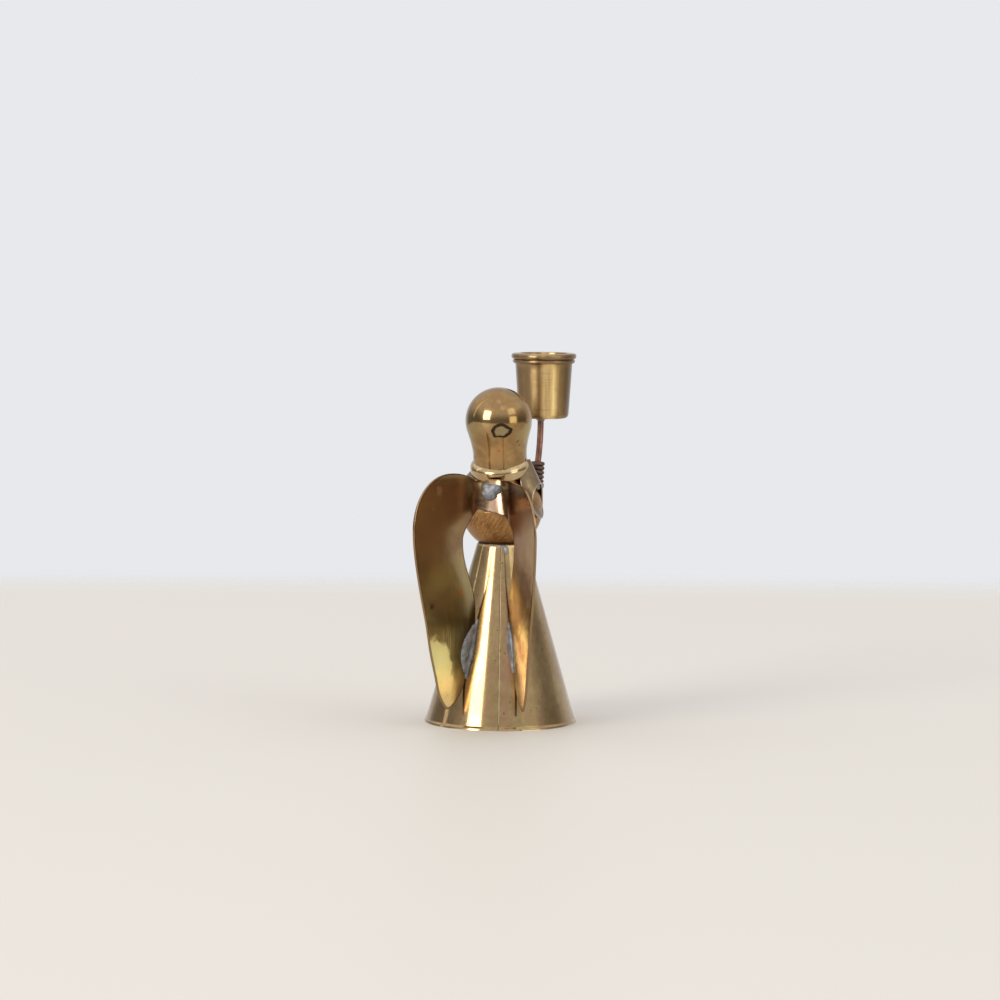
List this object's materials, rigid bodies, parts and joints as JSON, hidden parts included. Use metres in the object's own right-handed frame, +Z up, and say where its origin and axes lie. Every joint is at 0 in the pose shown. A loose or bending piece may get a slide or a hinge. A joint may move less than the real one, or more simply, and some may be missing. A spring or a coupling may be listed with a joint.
{
  "type": "candle holder",
  "caption": "Hand-made brass angel with a cone skirt, bulb head and folded wings, holding a turned candle cup on a copper stem.",
  "frame": {"origin": "on the table under the middle of the whole figure's bounding box", "axes": "+Z up; the angel faces -Y, its wings spread behind towards +Y, and its right hand and the candle are on the -X side"},
  "size_m": [0.0454, 0.0694, 0.1106],
  "materials": {
    "sheet_brass": "aged, half polished",
    "turned_brass": "turned, satin",
    "copper_wire": "dull red-brown copper",
    "soft_solder": "rough grey solder"
  },
  "bodies": {
    "root": {"skirt": "sheet_brass", "skirt_seam_solder": "soft_solder", "waist_ring_solder": "soft_solder", "waist_drip_solder": "soft_solder", "torso_lower_half": "sheet_brass", "torso_upper_half": "sheet_brass", "collar": "sheet_brass", "head": "sheet_brass", "head_solder_scar": "soft_solder", "wings": "sheet_brass", "wing_bridge_solder": "soft_solder", "left_wing_solder": "soft_solder", "right_wing_solder": "soft_solder", "left_sleeve": "sheet_brass", "right_sleeve": "sheet_brass", "left_shoulder_solder": "soft_solder", "right_shoulder_solder": "soft_solder", "left_arm_solder": "soft_solder", "right_arm_solder": "soft_solder", "arm_wire": "copper_wire", "candle_stem": "copper_wire", "cup_solder": "soft_solder", "candle_cup": "turned_brass"}
  },
  "joints": []
}
